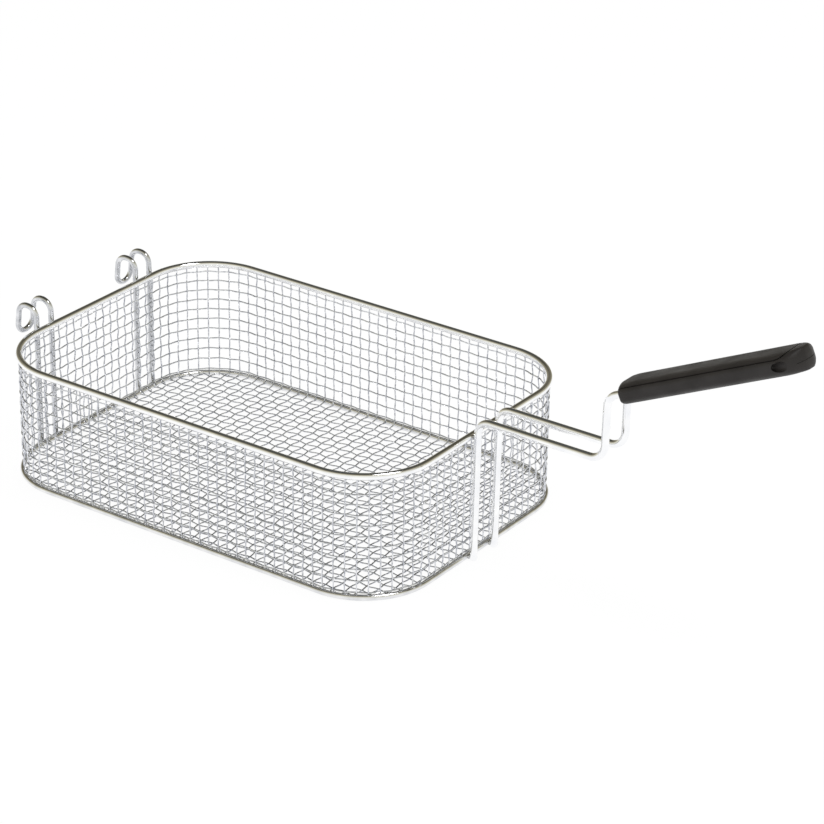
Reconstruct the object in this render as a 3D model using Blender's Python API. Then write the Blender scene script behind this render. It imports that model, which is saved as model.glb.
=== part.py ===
"""Deep fryer basket: woven wire walls and floor between two thick rings, a doubled handle wire with a
moulded grip, and two hanging hooks. Metres, +Z up. The basket stands at z = 0 and its handle points along +X.
"""

import math

import bmesh
import bpy
from mathutils import Matrix, Vector

# Clearance between pieces that touch
GAP = 0.0003

# Basket, between the middles of its wires
LENGTH = 0.340
WIDTH = 0.233
HEIGHT = 0.0895
CORNER_RADIUS = 0.0517
RIM_DIAMETER = 0.0050
BASE_DIAMETER = 0.0042

# Woven mesh
MESH_PITCH = 0.0081
HOOP_PITCH = 0.00738
HOOP_WIDENING = 0.000062
MESH_DIAMETER = 0.0011
TOP_HOOP_DROP = 0.0060
FIRST_UPRIGHT = 0.0021

# Handle wire, seen from the side
HANDLE_DIAMETER = 0.0053
HANDLE_SPACING = 0.0250
HANDLE_RISE = 0.0127
HANDLE_REACH = 0.0986
HANDLE_CLIMB = 0.0459
SHOULDER_RADIUS = 0.0095
ELBOW_RADIUS = 0.0110
NECK_RADIUS = 0.0110

# The handle is welded on a little off the middle and leans back towards it
HANDLE_SHIFT = -0.0044
HANDLE_LEAN = math.radians(1.05)

# Grip
GRIP_SLOPE = math.radians(24.8)
GRIP_STANDOFF = 0.0015
GRIP_LENGTH = 0.1397
GRIP_WIDTH = 0.0355
GRIP_TAPER = 0.0010
GRIP_THICKNESS = 0.0142
GRIP_FLARE = 0.0009
GRIP_SINK = 0.0008
GRIP_ROUND_ACROSS = 0.0111
GRIP_ROUND_HIGH = 0.0052
GRIP_BACK_ROUND = 0.0045
GRIP_NOSE_ROUND = 0.0138
GRIP_END_EDGE = 0.0014
COVER_THICKNESS = 0.0020
NOSE_LENGTH = 0.0150
TURN_TO_TIP = 0.0240

# Hooks
HOOK_DIAMETER = 0.0040
HOOK_SPACING = 0.0155
HOOK_INSET = 0.0620
HOOK_SHIFT = 0.0021
HOOK_RISE = 0.0157
HOOK_BEND = 0.0079
HOOK_DROP = 0.0240
HOOK_SPLAY = 0.0026

# Facets
RING_STEP = math.radians(15)
BEND_STEP = math.radians(23)
WIRE_SIDES = 8
SHARP_ANGLE = math.radians(50)

# Heights of the wires' middles above the floor that the basket stands on
BASE_Z = BASE_DIAMETER / 2
RIM_Z = BASE_Z + HEIGHT

# The thinner base ring is a little longer, so that its outer side is flush with the rim's
FLUSH = (RIM_DIAMETER - BASE_DIAMETER) / 2
END_X = LENGTH / 2 + RIM_DIAMETER / 2 + GAP
HANDLE_X = END_X + HANDLE_DIAMETER / 2
HOOK_X = -END_X - HOOK_DIAMETER / 2

# Where the handle's neck would come to a point: the grip's own origin
NECK = Vector((HANDLE_X + HANDLE_REACH, 0, RIM_Z + HANDLE_RISE + HANDLE_CLIMB))
NECK_TANGENT = NECK_RADIUS * math.tan((math.pi / 2 - GRIP_SLOPE) / 2)
GRIP_START = NECK_TANGENT + GRIP_STANDOFF
GRIP_TIP = GRIP_START + GRIP_LENGTH


def steel(name, shade, roughness):
    material = bpy.data.materials.new(name)
    material.use_nodes = True
    shader = material.node_tree.nodes["Principled BSDF"]
    shader.inputs["Base Color"].default_value = (shade, shade, shade * 1.02, 1)
    shader.inputs["Metallic"].default_value = 1
    shader.inputs["Roughness"].default_value = roughness
    return material


def black_plastic():
    material = bpy.data.materials.new("black_moulding")
    material.use_nodes = True
    shader = material.node_tree.nodes["Principled BSDF"]
    shader.inputs["Base Color"].default_value = (0.022, 0.023, 0.021, 1)
    shader.inputs["Metallic"].default_value = 0
    shader.inputs["Roughness"].default_value = 0.48
    return material


def add_object(name, shape, material, parent):
    """Turns a bmesh into a named, smooth-shaded object under its parent."""
    bmesh.ops.recalc_face_normals(shape, faces=shape.faces)
    mesh = bpy.data.meshes.new(name)
    shape.to_mesh(mesh)
    shape.free()
    mesh.materials.append(material)
    mesh.shade_smooth()
    mesh.set_sharp_from_angle(angle=SHARP_ANGLE)
    piece = bpy.data.objects.new(name, mesh)
    bpy.context.scene.collection.objects.link(piece)
    piece.parent = parent
    return piece


def add_cutter(name, shape, parent):
    """An object that only cuts others."""
    bmesh.ops.recalc_face_normals(shape, faces=shape.faces)
    mesh = bpy.data.meshes.new(name)
    shape.to_mesh(mesh)
    shape.free()
    cutter = bpy.data.objects.new(name, mesh)
    bpy.context.scene.collection.objects.link(cutter)
    cutter.parent = parent
    cutter.hide_render = True
    cutter.display_type = "WIRE"
    return cutter


def combine(piece, other, operation):
    boolean = piece.modifiers.new(other.name, "BOOLEAN")
    boolean.operation = operation
    boolean.solver = "EXACT"
    boolean.object = other


def polygon(sides, flat_radius):
    """A regular section whose flat sides lie at flat_radius, with one flat facing straight down."""
    corner = flat_radius / math.cos(math.pi / sides)
    angles = [(i + 0.5) * 2 * math.pi / sides - math.pi / 2 for i in range(sides)]
    return [(corner * math.cos(a), corner * math.sin(a)) for a in angles]


def triangle(diameter):
    """The three-sided section of a thin wire, point up, as wide as the round wire."""
    corner = diameter / math.sqrt(3)
    angles = [math.pi / 2 + i * 2 * math.pi / 3 for i in range(3)]
    return [(corner * math.cos(a), corner * math.sin(a)) for a in angles]


def rounded(corners, radii, step, closed=False):
    """The points of a path through corners, each rounded to its radius. An open path keeps its two ends."""
    count = len(corners)
    points = [] if closed else [corners[0]]
    for i in range(count) if closed else range(1, count - 1):
        here, before, after = corners[i], corners[i - 1], corners[(i + 1) % count]
        back, forth = (before - here).normalized(), (after - here).normalized()
        turn = math.pi - back.angle(forth)
        tangent = radii[i] * math.tan(turn / 2)
        centre = here + (back + forth).normalized() * radii[i] / math.cos(turn / 2)
        start, axis = here + back * tangent - centre, forth.cross(back)
        pieces = max(1, math.ceil(turn / step - 1e-6))
        for k in range(pieces + 1):
            point = centre + Matrix.Rotation(turn * k / pieces, 3, axis) @ start
            if not points or (point - points[-1]).length > 1e-6:
                points.append(point)
    if closed:
        return points
    return points + [corners[-1]]


def sweep(path, section, normal, closed=False):
    """Carries a section along a path. The section's second axis starts along normal and never twists."""
    shape = bmesh.new()
    count, rings = len(path), []
    for i, here in enumerate(path):
        before = path[i - 1] if closed or i > 0 else None
        after = path[(i + 1) % count] if closed or i < count - 1 else None
        into = (here - before).normalized() if before else (after - here).normalized()
        out = (after - here).normalized() if after else into
        along = (into + out).normalized()
        normal = (normal - along * normal.dot(along)).normalized()
        side = along.cross(normal)
        bend, half = out - into, into.angle(out) / 2
        ring = []
        for a, b in section:
            offset = side * a + normal * b
            if half > 1e-4:
                inward = bend.normalized()
                offset += inward * offset.dot(inward) * (1 / math.cos(half) - 1)
            ring.append(shape.verts.new(here + offset))
        rings.append(ring)
    for i in range(count if closed else count - 1):
        one, two = rings[i], rings[(i + 1) % count]
        for k in range(len(section)):
            m = (k + 1) % len(section)
            shape.faces.new((one[k], one[m], two[m], two[k]))
    if not closed:
        shape.faces.new(reversed(rings[0]))
        shape.faces.new(rings[-1])
    return shape


def ring_path(grow, z):
    """The rounded rectangle of the basket, grown outwards, counter-clockwise from above."""
    x, y, radius = LENGTH / 2 + grow, WIDTH / 2 + grow, CORNER_RADIUS + grow
    corners = [Vector(p) for p in ((x, -y, z), (x, y, z), (-x, y, z), (-x, -y, z))]
    return rounded(corners, [radius] * 4, RING_STEP, closed=True)


STRAIGHT_X = LENGTH - 2 * CORNER_RADIUS
STRAIGHT_Y = WIDTH - 2 * CORNER_RADIUS
ARC = CORNER_RADIUS * math.pi / 2
PERIMETER = 2 * (STRAIGHT_X + STRAIGHT_Y) + 4 * ARC

# An even number of uprights lets each hoop close on its own weave
UPRIGHTS = 2 * round(PERIMETER / MESH_PITCH / 2)
UPRIGHT_STEP = PERIMETER / UPRIGHTS
UPRIGHT_SIDE = MESH_DIAMETER * math.sqrt(math.pi) / 2

# The floor's edge strip lies just inside the base ring
FLOOR_GROW = FLUSH - BASE_DIAMETER / 2 - GAP - UPRIGHT_SIDE / 2


def on_wall(distance):
    """The place and outward direction at a distance along the wall from the middle of the near side."""
    legs = (
        (STRAIGHT_X / 2, STRAIGHT_X / 2, -WIDTH / 2 + CORNER_RADIUS, 0),
        (STRAIGHT_Y, LENGTH / 2 - CORNER_RADIUS, STRAIGHT_Y / 2, 1),
        (STRAIGHT_X, -STRAIGHT_X / 2, WIDTH / 2 - CORNER_RADIUS, 2),
        (STRAIGHT_Y, -LENGTH / 2 + CORNER_RADIUS, -STRAIGHT_Y / 2, 3),
    )
    left = distance % PERIMETER
    for length, end_x, end_y, quarter in legs:
        heading = quarter * math.pi / 2
        along = Vector((math.cos(heading), math.sin(heading), 0))
        out = Vector((along.y, -along.x, 0))
        centre = Vector((end_x, end_y, 0))
        if left <= length:
            return centre + out * CORNER_RADIUS - along * (length - left), out
        left -= length
        if left <= ARC:
            out = Matrix.Rotation(left / CORNER_RADIUS, 3, "Z") @ out
            return centre + out * CORNER_RADIUS, out
        left -= ARC
    out = Vector((0, -1, 0))
    return Vector((left - STRAIGHT_X / 2, -WIDTH / 2, 0)), out


def upright_distance(index):
    return FIRST_UPRIGHT + index * UPRIGHT_STEP


def wall_panels():
    """The name of each stretch of wall, with the numbers of its first upright and of the one past its last."""
    ends = [STRAIGHT_X / 2]
    for length in (ARC, STRAIGHT_Y, ARC, STRAIGHT_X, ARC, STRAIGHT_Y, ARC):
        ends.append(ends[-1] + length)
    marks = [math.ceil((end - FIRST_UPRIGHT) / UPRIGHT_STEP) for end in ends]
    names = (
        "near_handle_corner_wires",
        "handle_end_wires",
        "far_handle_corner_wires",
        "far_wall_wires",
        "far_hook_corner_wires",
        "hook_end_wires",
        "near_hook_corner_wires",
    )
    panels = list(zip(names, marks, marks[1:]))
    panels.append(("near_wall_wires", marks[-1], marks[0] + UPRIGHTS))
    return panels


def upright_panel(first, stop):
    """Square upright wires standing on their stretch of the lowest edge wire, like the teeth of a comb."""
    half = UPRIGHT_SIDE / 2
    low = BASE_Z + BASE_DIAMETER / 2 + GAP
    top = RIM_Z - RIM_DIAMETER / 2 - GAP
    columns = [upright_distance(first - 0.5) + GAP / 2]
    for index in range(first, stop):
        columns += [upright_distance(index) - half, upright_distance(index) + half]
    columns.append(upright_distance(stop - 0.5) - GAP / 2)

    shape = bmesh.new()
    grid = []
    for distance in columns:
        place, out = on_wall(distance)
        rows = []
        for z in (low, low + UPRIGHT_SIDE, top):
            level = place + Vector((0, 0, z))
            rows.append([shape.verts.new(level - out * half), shape.verts.new(level + out * half)])
        grid.append(rows)
    for i, (one, two) in enumerate(zip(grid, grid[1:])):
        shape.faces.new((one[0][1], two[0][1], two[1][1], one[1][1]))
        shape.faces.new((two[0][0], one[0][0], one[1][0], two[1][0]))
        shape.faces.new((one[0][0], two[0][0], two[0][1], one[0][1]))
        is_tooth = i % 2 == 1
        if not is_tooth:
            shape.faces.new((one[1][1], two[1][1], two[1][0], one[1][0]))
            continue
        shape.faces.new((one[1][1], two[1][1], two[2][1], one[2][1]))
        shape.faces.new((two[1][0], one[1][0], one[2][0], two[2][0]))
        shape.faces.new((one[1][0], one[1][1], one[2][1], one[2][0]))
        shape.faces.new((two[1][1], two[1][0], two[2][0], two[2][1]))
        shape.faces.new((one[2][1], two[2][1], two[2][0], one[2][0]))
    shape.faces.new((grid[0][0][0], grid[0][0][1], grid[0][1][1], grid[0][1][0]))
    shape.faces.new((grid[-1][0][1], grid[-1][0][0], grid[-1][1][0], grid[-1][1][1]))
    unused = [vert for vert in shape.verts if not vert.link_faces]
    bmesh.ops.delete(shape, geom=unused, context="VERTS")
    bmesh.ops.dissolve_limit(
        shape, angle_limit=math.radians(0.5), verts=shape.verts, edges=shape.edges
    )
    return shape


def hoop_height(number):
    """Hoops are numbered downwards, and each gap is a little wider than the one above it."""
    return RIM_Z - TOP_HOOP_DROP - number * (HOOP_PITCH + number * HOOP_WIDENING)


def hoop(number):
    """One wire round the whole basket, in front of one upright and behind the next."""
    section = triangle(MESH_DIAMETER)
    clear = (UPRIGHT_SIDE + MESH_DIAMETER) / 2 + GAP
    swing = clear / (1 - UPRIGHT_SIDE / UPRIGHT_STEP)
    z = hoop_height(number)
    path = []
    for index in range(UPRIGHTS):
        place, out = on_wall(upright_distance(index))
        sign = 1 if (index + number) % 2 else -1
        path.append(place + out * swing * sign + Vector((0, 0, z)))
    return sweep(path, section, Vector((0, 0, 1)), closed=True)


def hoop_count():
    lowest = BASE_DIAMETER + GAP + UPRIGHT_SIDE + MESH_DIAMETER + GAP
    count = 0
    while hoop_height(count) > lowest:
        count += 1
    return count


def floor_edge():
    """The upright edge strip of the floor mesh, which fits inside the base ring."""
    half, tall = UPRIGHT_SIDE / 2, MESH_DIAMETER + GAP
    section = [(half, -tall), (half, tall), (-half, tall), (-half, -tall)]
    return sweep(ring_path(FLOOR_GROW, BASE_Z), section, Vector((0, 0, 1)), closed=True)


def reach(offset, half_straight, half_span):
    """How far a floor wire runs each way before it meets the middle of the floor's edge strip."""
    past = max(0, abs(offset) - half_straight)
    radius = CORNER_RADIUS + FLOOR_GROW
    return half_span + FLOOR_GROW - radius + math.sqrt(radius**2 - past**2)


def floor_wires():
    """The floor's two layers of straight wires, long ones above cross ones, all ending in its edge strip."""
    section = triangle(MESH_DIAMETER)
    level = (MESH_DIAMETER + GAP) / 2
    shape = bmesh.new()
    layers = (
        (Vector((1, 0, 0)), Vector((0, 1, 0)), LENGTH / 2, WIDTH / 2, STRAIGHT_Y / 2, level),
        (Vector((0, 1, 0)), Vector((1, 0, 0)), WIDTH / 2, LENGTH / 2, STRAIGHT_X / 2, -level),
    )
    for along, across, half_span, half_room, half_straight, height in layers:
        count = 2 * int((half_room - BASE_DIAMETER) / MESH_PITCH + 0.5)
        for k in range(count):
            offset = (k - (count - 1) / 2) * MESH_PITCH
            end = along * reach(offset, half_straight, half_span)
            middle = across * offset + Vector((0, 0, BASE_Z + height))
            wire = sweep([middle - end, middle + end], section, Vector((0, 0, 1)))
            copy = bpy.data.meshes.new("floor_wire")
            wire.to_mesh(copy)
            wire.free()
            shape.from_mesh(copy)
            bpy.data.meshes.remove(copy)
    return shape


def handle_path():
    """The doubled handle wire: up the end wall, out, up the neck, along the grip and back the same way."""
    foot_z, run_z = GAP, RIM_Z + HANDLE_RISE
    slope = Vector((math.cos(GRIP_SLOPE), 0, math.sin(GRIP_SLOPE)))
    turn = NECK + slope * (GRIP_TIP - TURN_TO_TIP)
    leg = [
        Vector((HANDLE_X, 0, foot_z)),
        Vector((HANDLE_X, 0, run_z)),
        Vector((NECK.x, 0, run_z)),
        NECK.copy(),
        turn,
    ]
    half = Vector((0, HANDLE_SPACING / 2, 0))
    corners = [p - half for p in leg] + [p + half for p in reversed(leg)]
    bends = [0, SHOULDER_RADIUS, ELBOW_RADIUS, NECK_RADIUS, HANDLE_SPACING / 2]
    return rounded(corners, bends + bends[::-1], BEND_STEP)


def hook_path(side):
    """One hook: up the outside of the end wall, over, down to a closed end and back."""
    y = HOOK_SHIFT + side * (WIDTH / 2 - HOOK_INSET)
    half = HOOK_SPACING / 2
    outer = HOOK_X - 2 * HOOK_BEND
    crown = RIM_Z + HOOK_RISE
    leg = [(HOOK_X, GAP), (HOOK_X, crown), (outer, crown), (outer - HOOK_SPLAY, crown - HOOK_DROP)]
    corners = [Vector((x, y - half, z)) for x, z in leg] + [Vector((x, y + half, z)) for x, z in reversed(leg)]
    bends = [0, HOOK_BEND, HOOK_BEND, half]
    return rounded(corners, bends + bends[::-1], BEND_STEP)


def grip_half_width(u, inset):
    """Half of the grip's width at a distance along it: a slight taper and round ends."""
    half = GRIP_WIDTH / 2 - inset - GRIP_TAPER / 2 * (u - GRIP_START) / GRIP_LENGTH
    setback = GRIP_END_EDGE * inset / GRIP_ROUND_ACROSS
    back = (u - GRIP_START - setback) / GRIP_BACK_ROUND
    nose = (GRIP_TIP - setback - u) / GRIP_NOSE_ROUND
    for end in (back, nose):
        if end < 1:
            half *= math.sqrt(max(0, 1 - (1 - end) ** 2))
    return half


def grip_level(inset, height):
    """One closed outline of the grip at a height, as points in the grip's own axes."""
    setback = GRIP_END_EDGE * inset / GRIP_ROUND_ACROSS
    start, tip = GRIP_START + setback, GRIP_TIP - setback
    quarter = [1 - math.cos(math.radians(a)) for a in (22, 44, 66, 90)]
    stations = [start + GRIP_BACK_ROUND * q for q in quarter]
    stations += [tip - GRIP_NOSE_ROUND * q for q in reversed(quarter)]
    side = [(u, grip_half_width(u, inset)) for u in stations]
    outline = [(start, 0)] + side + [(tip, 0)] + [(u, -v) for u, v in reversed(side)]
    points = []
    for u, v in outline:
        flare = 1 + GRIP_FLARE / GRIP_THICKNESS * (u - GRIP_START) / GRIP_LENGTH
        points.append(Vector((u, v, height * flare - GRIP_SINK)))
    return points


def grip_blank():
    """The whole grip with its rounded edges, before the cover is parted off."""
    levels = []
    for degrees in (90, 60, 30, 0):
        rounding = math.radians(degrees)
        height = GRIP_THICKNESS / 2 - GRIP_ROUND_HIGH * (1 - math.sin(rounding))
        levels.append((-height, GRIP_ROUND_ACROSS * (1 - math.cos(rounding))))
    levels += [(-height, inset) for height, inset in reversed(levels)]
    shape = bmesh.new()
    rings = [[shape.verts.new(p) for p in grip_level(inset, height)] for height, inset in levels]
    for one, two in zip(rings, rings[1:]):
        for k in range(len(one)):
            m = (k + 1) % len(one)
            shape.faces.new((one[k], one[m], two[m], two[k]))
    shape.faces.new(reversed(rings[0]))
    shape.faces.new(rings[-1])
    return shape


def cover_zone(margin):
    """The wedge-ended space over the parting line, grown by a margin, which the cover fills."""
    part = GRIP_THICKNESS / 2 - GRIP_SINK - COVER_THICKNESS - margin
    over = GRIP_THICKNESS
    front = GRIP_TIP - NOSE_LENGTH + margin
    wide = GRIP_WIDTH
    profile = [
        (GRIP_START - wide, part),
        (front, part),
        (front + over - part, over),
        (GRIP_START - wide, over),
    ]
    shape = bmesh.new()
    ends = [[shape.verts.new((u, side, w)) for u, w in profile] for side in (-wide, wide)]
    for k in range(4):
        m = (k + 1) % 4
        shape.faces.new((ends[0][k], ends[0][m], ends[1][m], ends[1][k]))
    shape.faces.new(reversed(ends[0]))
    shape.faces.new(ends[1])
    return shape


def wire_channel():
    """The doubled channel in the lower moulding, which is moulded round the wire."""
    turn, back = GRIP_TIP - TURN_TO_TIP, NECK_TANGENT
    y = HANDLE_SPACING / 2
    corners = [Vector(p) for p in ((back, -y, 0), (turn, -y, 0), (turn, y, 0), (back, y, 0))]
    section = polygon(WIRE_SIDES, HANDLE_DIAMETER / 2 + GAP)
    return sweep(rounded(corners, [0, y, y, 0], BEND_STEP), section, Vector((0, 0, 1)))


def build_grip(material, parent):
    seat = bpy.data.objects.new("grip_axis", None)
    bpy.context.scene.collection.objects.link(seat)
    seat.parent = parent
    seat.location = NECK
    seat.rotation_euler = (0, -GRIP_SLOPE, 0)
    body = add_object("grip_body", grip_blank(), material, seat)
    combine(body, add_cutter("parting_cut", cover_zone(GAP / 2), seat), "DIFFERENCE")
    combine(body, add_cutter("channel_cut", wire_channel(), seat), "DIFFERENCE")
    cover = add_object("grip_cover", grip_blank(), material, seat)
    combine(cover, add_cutter("cover_space", cover_zone(-GAP / 2), seat), "INTERSECT")


def centre_on_floor(frame):
    """Moves the whole basket so that the middle of its box is over the origin and it stands at z = 0."""
    bpy.context.view_layer.update()
    graph = bpy.context.evaluated_depsgraph_get()
    points = []
    for piece in bpy.context.scene.objects:
        if piece.type == "MESH" and not piece.hide_render:
            seen = piece.evaluated_get(graph)
            points += [seen.matrix_world @ vert.co for vert in seen.to_mesh().vertices]
            seen.to_mesh_clear()
    frame.location.x = -(min(p.x for p in points) + max(p.x for p in points)) / 2
    frame.location.z = -min(p.z for p in points)


def main():
    for leftover in list(bpy.data.objects):
        bpy.data.objects.remove(leftover)
    frame = bpy.data.objects.new("basket_frame", None)
    bpy.context.scene.collection.objects.link(frame)

    bright = steel("bright_wire", 0.78, 0.14)
    woven = steel("woven_wire", 0.66, 0.30)
    up = Vector((0, 0, 1))
    inward = Vector((-1, 0, 0))

    rim = sweep(ring_path(0, RIM_Z), polygon(WIRE_SIDES, RIM_DIAMETER / 2), up, closed=True)
    add_object("rim_wire", rim, bright, frame)
    ring = sweep(ring_path(FLUSH, BASE_Z), polygon(WIRE_SIDES, BASE_DIAMETER / 2), up, closed=True)
    add_object("base_ring", ring, bright, frame)
    floor = add_object("floor_mesh", floor_edge(), woven, frame)
    combine(floor, add_cutter("floor_wires", floor_wires(), frame), "UNION")

    for name, first, stop in wall_panels():
        add_object(name, upright_panel(first, stop), woven, frame)
    for number in range(hoop_count()):
        add_object(f"hoop_{number + 1:02d}", hoop(number), woven, frame)

    lean = bpy.data.objects.new("handle_lean", None)
    bpy.context.scene.collection.objects.link(lean)
    lean.parent = frame
    lean.location.y = HANDLE_SHIFT
    lean.rotation_euler.x = -HANDLE_LEAN
    handle = sweep(handle_path(), polygon(WIRE_SIDES, HANDLE_DIAMETER / 2), inward)
    add_object("handle_wire", handle, bright, lean)
    for name, side in (("near_hook", -1), ("far_hook", 1)):
        hook = sweep(hook_path(side), polygon(WIRE_SIDES, HOOK_DIAMETER / 2), inward)
        add_object(name, hook, bright, frame)
    build_grip(black_plastic(), lean)
    centre_on_floor(frame)


main()
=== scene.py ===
import math

import bpy
from mathutils import Matrix, Vector


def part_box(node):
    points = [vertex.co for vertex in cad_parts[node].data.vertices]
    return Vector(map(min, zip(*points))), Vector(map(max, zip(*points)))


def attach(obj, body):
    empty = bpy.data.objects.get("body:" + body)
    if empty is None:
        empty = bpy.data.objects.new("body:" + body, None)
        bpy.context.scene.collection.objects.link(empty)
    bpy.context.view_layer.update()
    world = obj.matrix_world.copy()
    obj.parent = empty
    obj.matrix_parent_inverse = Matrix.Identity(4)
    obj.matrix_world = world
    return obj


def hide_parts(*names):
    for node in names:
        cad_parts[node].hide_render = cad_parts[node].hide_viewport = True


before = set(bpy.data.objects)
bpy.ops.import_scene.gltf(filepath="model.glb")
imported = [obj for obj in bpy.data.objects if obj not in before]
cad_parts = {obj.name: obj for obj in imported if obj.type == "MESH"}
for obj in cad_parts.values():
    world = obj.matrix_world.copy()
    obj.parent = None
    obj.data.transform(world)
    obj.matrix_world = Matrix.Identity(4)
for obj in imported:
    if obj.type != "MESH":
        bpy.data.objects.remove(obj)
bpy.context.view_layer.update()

# Deep fryer basket: plated woven wire between two thick rings, a doubled handle wire with a black moulded
# grip, and two hanging hooks. Metres. The basket stands at z = 0 and its handle points along +X.

# Wires
RIM_WIRE = 0.0050
BASE_WIRE = 0.0042
HANDLE_WIRE = 0.0053
HOOK_WIRE = 0.0040
MESH_WIRE = 0.0010

# Where the frame has the rim, the base ring and the hoops
rim_low, rim_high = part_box("rim_wire")
ring_low, ring_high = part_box("base_ring")
CENTRE_X = (rim_low.x + rim_high.x) / 2
HALF_LENGTH = (rim_high.x - rim_low.x - RIM_WIRE) / 2
HALF_WIDTH = (rim_high.y - rim_low.y - RIM_WIRE) / 2
RIM_Z = (rim_low.z + rim_high.z) / 2
BASE_Z = (ring_low.z + ring_high.z) / 2
CORNER = 0.0517
FLUSH = (RIM_WIRE - BASE_WIRE) / 2
HOOPS = sorted(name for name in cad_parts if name.startswith("hoop_"))

# Weave. Each wire bows by a little under half its thickness, because the wires dent each other where
# they cross
UPRIGHT_COUNT = 132
UPRIGHT_CRIMP = MESH_WIRE * 0.45
HOOP_CRIMP = MESH_WIRE * 0.43
FLOOR_CRIMP = MESH_WIRE * 0.47
STEPS_PER_PITCH = 4
FIRST_FAR_UPRIGHT = 0.0059
LOWEST_HOOP_LIFT = 0.0009
FOOT_RUN = 0.0004
FOOT_RADIUS = 0.0012
FOOT_LEAN = math.radians(50.6)
FLOOR_ROWS = 28
FLOOR_PITCHES_EACH_WAY = 24
WELD_DEPTH = 0.0005

# How finely wires are drawn: sides round them, and degrees of a bend at each step
ROD_SIDES = 24
ROD_STEP = 4
MESH_SIDES = 8
FOOT_STEP = 14

# Points nearer than the first are made one, and edges shorter than the second are taken out
MERGE = 0.00002
TINY = 0.00001

# Faces that meet at less than this are shaded smooth
SMOOTH_ANGLE = math.radians(40)

# The chamfer that the shears leave on a cut end, as a share of the wire
CHAMFER_SHARE = 0.09

# Weld beads: their size along x, y and z, and how uneven they are, as a share of the first
HANDLE_BEAD = (0.0023, 0.0060, 0.0034)
HOOK_BEAD = (0.0019, 0.0048, 0.0028)
BEAD_UNEVEN = 0.12

# Handle wire, seen from the side. It is welded on a little off the middle and leans back towards it
HANDLE_SPACING = 0.0250
HANDLE_SHIFT = -0.0044
HANDLE_LEAN = math.radians(1.05)
HANDLE_RUN_Z = RIM_Z + 0.0127
HANDLE_REACH = 0.0986
HANDLE_CLIMB = 0.0459
SHOULDER_RADIUS = 0.0095
ELBOW_RADIUS = 0.0110
NECK_RADIUS = 0.0110
LEG_END_Z = 0.0003

# Hooks
HOOK_SPACING = 0.0155
HOOK_RISE = 0.0157
HOOK_BEND = 0.0079
HOOK_DROP = 0.0240
HOOK_SPLAY = 0.0026

# Grip, in its own axes: u along it, v across it, w through it
GRIP_SLOPE = math.radians(24.8)
GRIP_STANDOFF = 0.0015
GRIP_LENGTH = 0.1397
GRIP_WIDTH = 0.0355
GRIP_TAPER = 0.0010
GRIP_THICKNESS = 0.0142
GRIP_FLARE = 0.0009
GRIP_SINK = 0.0008
ROUND_ACROSS = 0.0111
ROUND_HIGH = 0.0052
BACK_ROUND = 0.0045
NOSE_ROUND = 0.0138
END_EDGE = 0.0014
TURN_TO_TIP = 0.0240
CORNER_SEGMENTS = 9
BODY_STEPS = 40

# The cover's parting line, the finger scoops beside the nose, and the seam and the lip round the nose.
# SCOOP_U and LIP_BACK are distances from the neck, and COVER_RUN is from the back of the grip
PART_W = 0.0042
PART_GAP = 0.0005
COVER_RUN = 0.1220
COVER_SWEEP = 0.0083
COVER_RISE = 0.00195
SWEEP_STEPS = 8
SWEEP_LAST_STEP = 14
SWEEP_POWER = 2.5
SCOOP_U = 0.1385
SCOOP_V = 0.0180
SCOOP_W = -0.0002
SCOOP_SIZE = (0.0104, 0.0031, 0.0036)
SCOOP_TURN = math.radians(16)
SEAM_W = -0.0014
SEAM_WIDTH = 0.00035
SEAM_DEPTH = 0.0005
SEAM_IN_SCOOP = 0.6
SEAM_OVERSIZE = 1.001
EDGE_ROUND = 0.0006
SHARP_EDGE = math.radians(32)
LIP_WIDTH = 0.0024
LIP_BACK = 0.1316
LIP_REACH = 0.0126
LIP_HALF = 0.0158
LIP_LOW = 0.0030
LIP_RISE = 0.0030
LIP_STEP = 5

# The wall's outline, and the pitch at which the uprights stand round it
STRAIGHT_X = 2 * (HALF_LENGTH - CORNER)
STRAIGHT_Y = 2 * (HALF_WIDTH - CORNER)
ARC = CORNER * math.pi / 2
PERIMETER = 2 * (STRAIGHT_X + STRAIGHT_Y) + 4 * ARC
PITCH = PERIMETER / UPRIGHT_COUNT

X = Vector((1, 0, 0))
Y = Vector((0, 1, 0))
Z = Vector((0, 0, 1))


# Finishes


def linear(hex_colour):
    """An sRGB hex colour as the linear colour that a socket takes."""
    values = [int(hex_colour[i : i + 2], 16) / 255 for i in (1, 3, 5)]
    return [v / 12.92 if v <= 0.04045 else ((v + 0.055) / 1.055) ** 2.4 for v in values] + [1]


def add_node(tree, kind, settings=None, inputs=None):
    """Adds a node. Each input is given a value, or the output that feeds it."""
    made = tree.nodes.new(kind)
    for name, value in (settings or {}).items():
        setattr(made, name, value)
    for name, value in (inputs or {}).items():
        if isinstance(value, bpy.types.NodeSocket):
            tree.links.new(value, made.inputs[name])
        else:
            made.inputs[name].default_value = value
    return made


def set_ramp(ramp, stops):
    """Gives a colour ramp its stops, as (position, hex colour)."""
    elements = ramp.color_ramp.elements
    while len(elements) < len(stops):
        elements.new(1)
    for element, (position, colour) in zip(elements, stops):
        element.position = position
        element.color = linear(colour)


def bare_material(name):
    """A new material, its node tree and its shader node."""
    material = bpy.data.materials.new(name)
    material.use_nodes = True
    return material, material.node_tree, material.node_tree.nodes["Principled BSDF"]


# Nearly all of a noise's values lie between these
NOISE_LOW = 0.3
NOISE_HIGH = 0.7


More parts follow.
